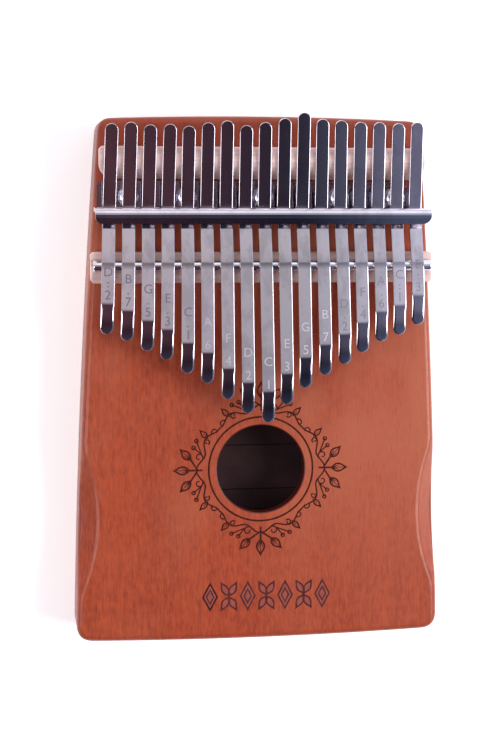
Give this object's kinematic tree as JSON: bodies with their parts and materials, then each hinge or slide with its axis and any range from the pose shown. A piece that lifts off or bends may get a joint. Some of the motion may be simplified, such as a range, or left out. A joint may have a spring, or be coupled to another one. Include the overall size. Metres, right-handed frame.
{
  "type": "thumb piano",
  "caption": "Hollow wooden thumb piano with steel tines held by a folded bracket over two bridges, above a round sound hole.",
  "frame": {"origin": "middle of the footprint, on the surface that the back lies on", "axes": "+Y towards the tails of the tines, +Z out of the soundboard, +X to the player's right"},
  "size_m": [0.1312, 0.187, 0.0369],
  "materials": {
    "face": "satin mahogany",
    "core": "satin mahogany",
    "back": "satin mahogany",
    "label": "plain printed paper",
    "bridges": "smooth pale maple",
    "rod": "polished steel rod",
    "bracket": "polished chromed steel",
    "screws": "polished pan-head screws",
    "tines": "polished spring steel"
  },
  "bodies": {
    "soundbox": {"back_board": "back", "body_core": "core", "soundboard": "face", "interior_label": "label", "rear_bridge": "bridges", "front_bridge": "bridges", "saddle_rod": "rod", "z_bracket": "bracket", "bracket_screw_1": "screws", "bracket_screw_2": "screws", "bracket_screw_3": "screws", "bracket_screw_4": "screws", "bracket_screw_5": "screws"},
    "tine_01": {"tine_01": "tines"},
    "tine_02": {"tine_02": "tines"},
    "tine_03": {"tine_03": "tines"},
    "tine_04": {"tine_04": "tines"},
    "tine_05": {"tine_05": "tines"},
    "tine_06": {"tine_06": "tines"},
    "tine_07": {"tine_07": "tines"},
    "tine_08": {"tine_08": "tines"},
    "tine_09": {"tine_09": "tines"},
    "tine_10": {"tine_10": "tines"},
    "tine_11": {"tine_11": "tines"},
    "tine_12": {"tine_12": "tines"},
    "tine_13": {"tine_13": "tines"},
    "tine_14": {"tine_14": "tines"},
    "tine_15": {"tine_15": "tines"},
    "tine_16": {"tine_16": "tines"},
    "tine_17": {"tine_17": "tines"}
  },
  "joints": [
    {"name": "tine_01_flex", "type": "hinge", "parent": "soundbox", "child": "tine_01", "pos_m": [-0.05424, 0.0409, 0.0312], "axis": [1, 0, 0], "range_deg": [-1.5, 3], "stiffness_Nm_per_rad": 4.87, "deforming": ["tine_01"]},
    {"name": "tine_02_flex", "type": "hinge", "parent": "soundbox", "child": "tine_02", "pos_m": [-0.0474, 0.0409, 0.0312], "axis": [1, 0, 0], "range_deg": [-1.6, 3.2], "stiffness_Nm_per_rad": 4.68, "deforming": ["tine_02"]},
    {"name": "tine_03_flex", "type": "hinge", "parent": "soundbox", "child": "tine_03", "pos_m": [-0.0406, 0.0409, 0.0312], "axis": [1, 0, 0], "range_deg": [-1.7, 3.4], "stiffness_Nm_per_rad": 4.41, "deforming": ["tine_03"]},
    {"name": "tine_04_flex", "type": "hinge", "parent": "soundbox", "child": "tine_04", "pos_m": [-0.0339, 0.0409, 0.0312], "axis": [1, 0, 0], "range_deg": [-1.8, 3.6], "stiffness_Nm_per_rad": 4.19, "deforming": ["tine_04"]},
    {"name": "tine_05_flex", "type": "hinge", "parent": "soundbox", "child": "tine_05", "pos_m": [-0.02704, 0.0409, 0.0312], "axis": [1, 0, 0], "range_deg": [-1.9, 3.8], "stiffness_Nm_per_rad": 3.88, "deforming": ["tine_05"]},
    {"name": "tine_06_flex", "type": "hinge", "parent": "soundbox", "child": "tine_06", "pos_m": [-0.02027, 0.0409, 0.0312], "axis": [1, 0, 0], "range_deg": [-1.9, 3.9], "stiffness_Nm_per_rad": 3.68, "deforming": ["tine_06"]},
    {"name": "tine_07_flex", "type": "hinge", "parent": "soundbox", "child": "tine_07", "pos_m": [-0.01343, 0.0409, 0.0312], "axis": [1, 0, 0], "range_deg": [-2, 4], "stiffness_Nm_per_rad": 3.39, "deforming": ["tine_07"]},
    {"name": "tine_08_flex", "type": "hinge", "parent": "soundbox", "child": "tine_08", "pos_m": [-0.00667, 0.0409, 0.0312], "axis": [1, 0, 0], "range_deg": [-2.1, 4.2], "stiffness_Nm_per_rad": 3.16, "deforming": ["tine_08"]},
    {"name": "tine_09_flex", "type": "hinge", "parent": "soundbox", "child": "tine_09", "pos_m": [0.00013, 0.0409, 0.0312], "axis": [1, 0, 0], "range_deg": [-2.1, 4.2], "stiffness_Nm_per_rad": 3.03, "deforming": ["tine_09"]},
    {"name": "tine_10_flex", "type": "hinge", "parent": "soundbox", "child": "tine_10", "pos_m": [0.0068, 0.0409, 0.0312], "axis": [1, 0, 0], "range_deg": [-2, 4.1], "stiffness_Nm_per_rad": 3.29, "deforming": ["tine_10"]},
    {"name": "tine_11_flex", "type": "hinge", "parent": "soundbox", "child": "tine_11", "pos_m": [0.0135, 0.0409, 0.0312], "axis": [1, 0, 0], "range_deg": [-2, 4], "stiffness_Nm_per_rad": 3.56, "deforming": ["tine_11"]},
    {"name": "tine_12_flex", "type": "hinge", "parent": "soundbox", "child": "tine_12", "pos_m": [0.02034, 0.0409, 0.0312], "axis": [1, 0, 0], "range_deg": [-1.9, 3.8], "stiffness_Nm_per_rad": 3.81, "deforming": ["tine_12"]},
    {"name": "tine_13_flex", "type": "hinge", "parent": "soundbox", "child": "tine_13", "pos_m": [0.02714, 0.0409, 0.0312], "axis": [1, 0, 0], "range_deg": [-1.9, 3.7], "stiffness_Nm_per_rad": 4.03, "deforming": ["tine_13"]},
    {"name": "tine_14_flex", "type": "hinge", "parent": "soundbox", "child": "tine_14", "pos_m": [0.03377, 0.0409, 0.0312], "axis": [1, 0, 0], "range_deg": [-1.8, 3.5], "stiffness_Nm_per_rad": 4.31, "deforming": ["tine_14"]},
    {"name": "tine_15_flex", "type": "hinge", "parent": "soundbox", "child": "tine_15", "pos_m": [0.0405, 0.0409, 0.0312], "axis": [1, 0, 0], "range_deg": [-1.6, 3.3], "stiffness_Nm_per_rad": 4.6, "deforming": ["tine_15"]},
    {"name": "tine_16_flex", "type": "hinge", "parent": "soundbox", "child": "tine_16", "pos_m": [0.04714, 0.0409, 0.0312], "axis": [1, 0, 0], "range_deg": [-1.6, 3.1], "stiffness_Nm_per_rad": 4.77, "deforming": ["tine_16"]},
    {"name": "tine_17_flex", "type": "hinge", "parent": "soundbox", "child": "tine_17", "pos_m": [0.05387, 0.0409, 0.0312], "axis": [1, 0, 0], "range_deg": [-1.4, 2.7], "stiffness_Nm_per_rad": 5.05, "deforming": ["tine_17"]}
  ]
}
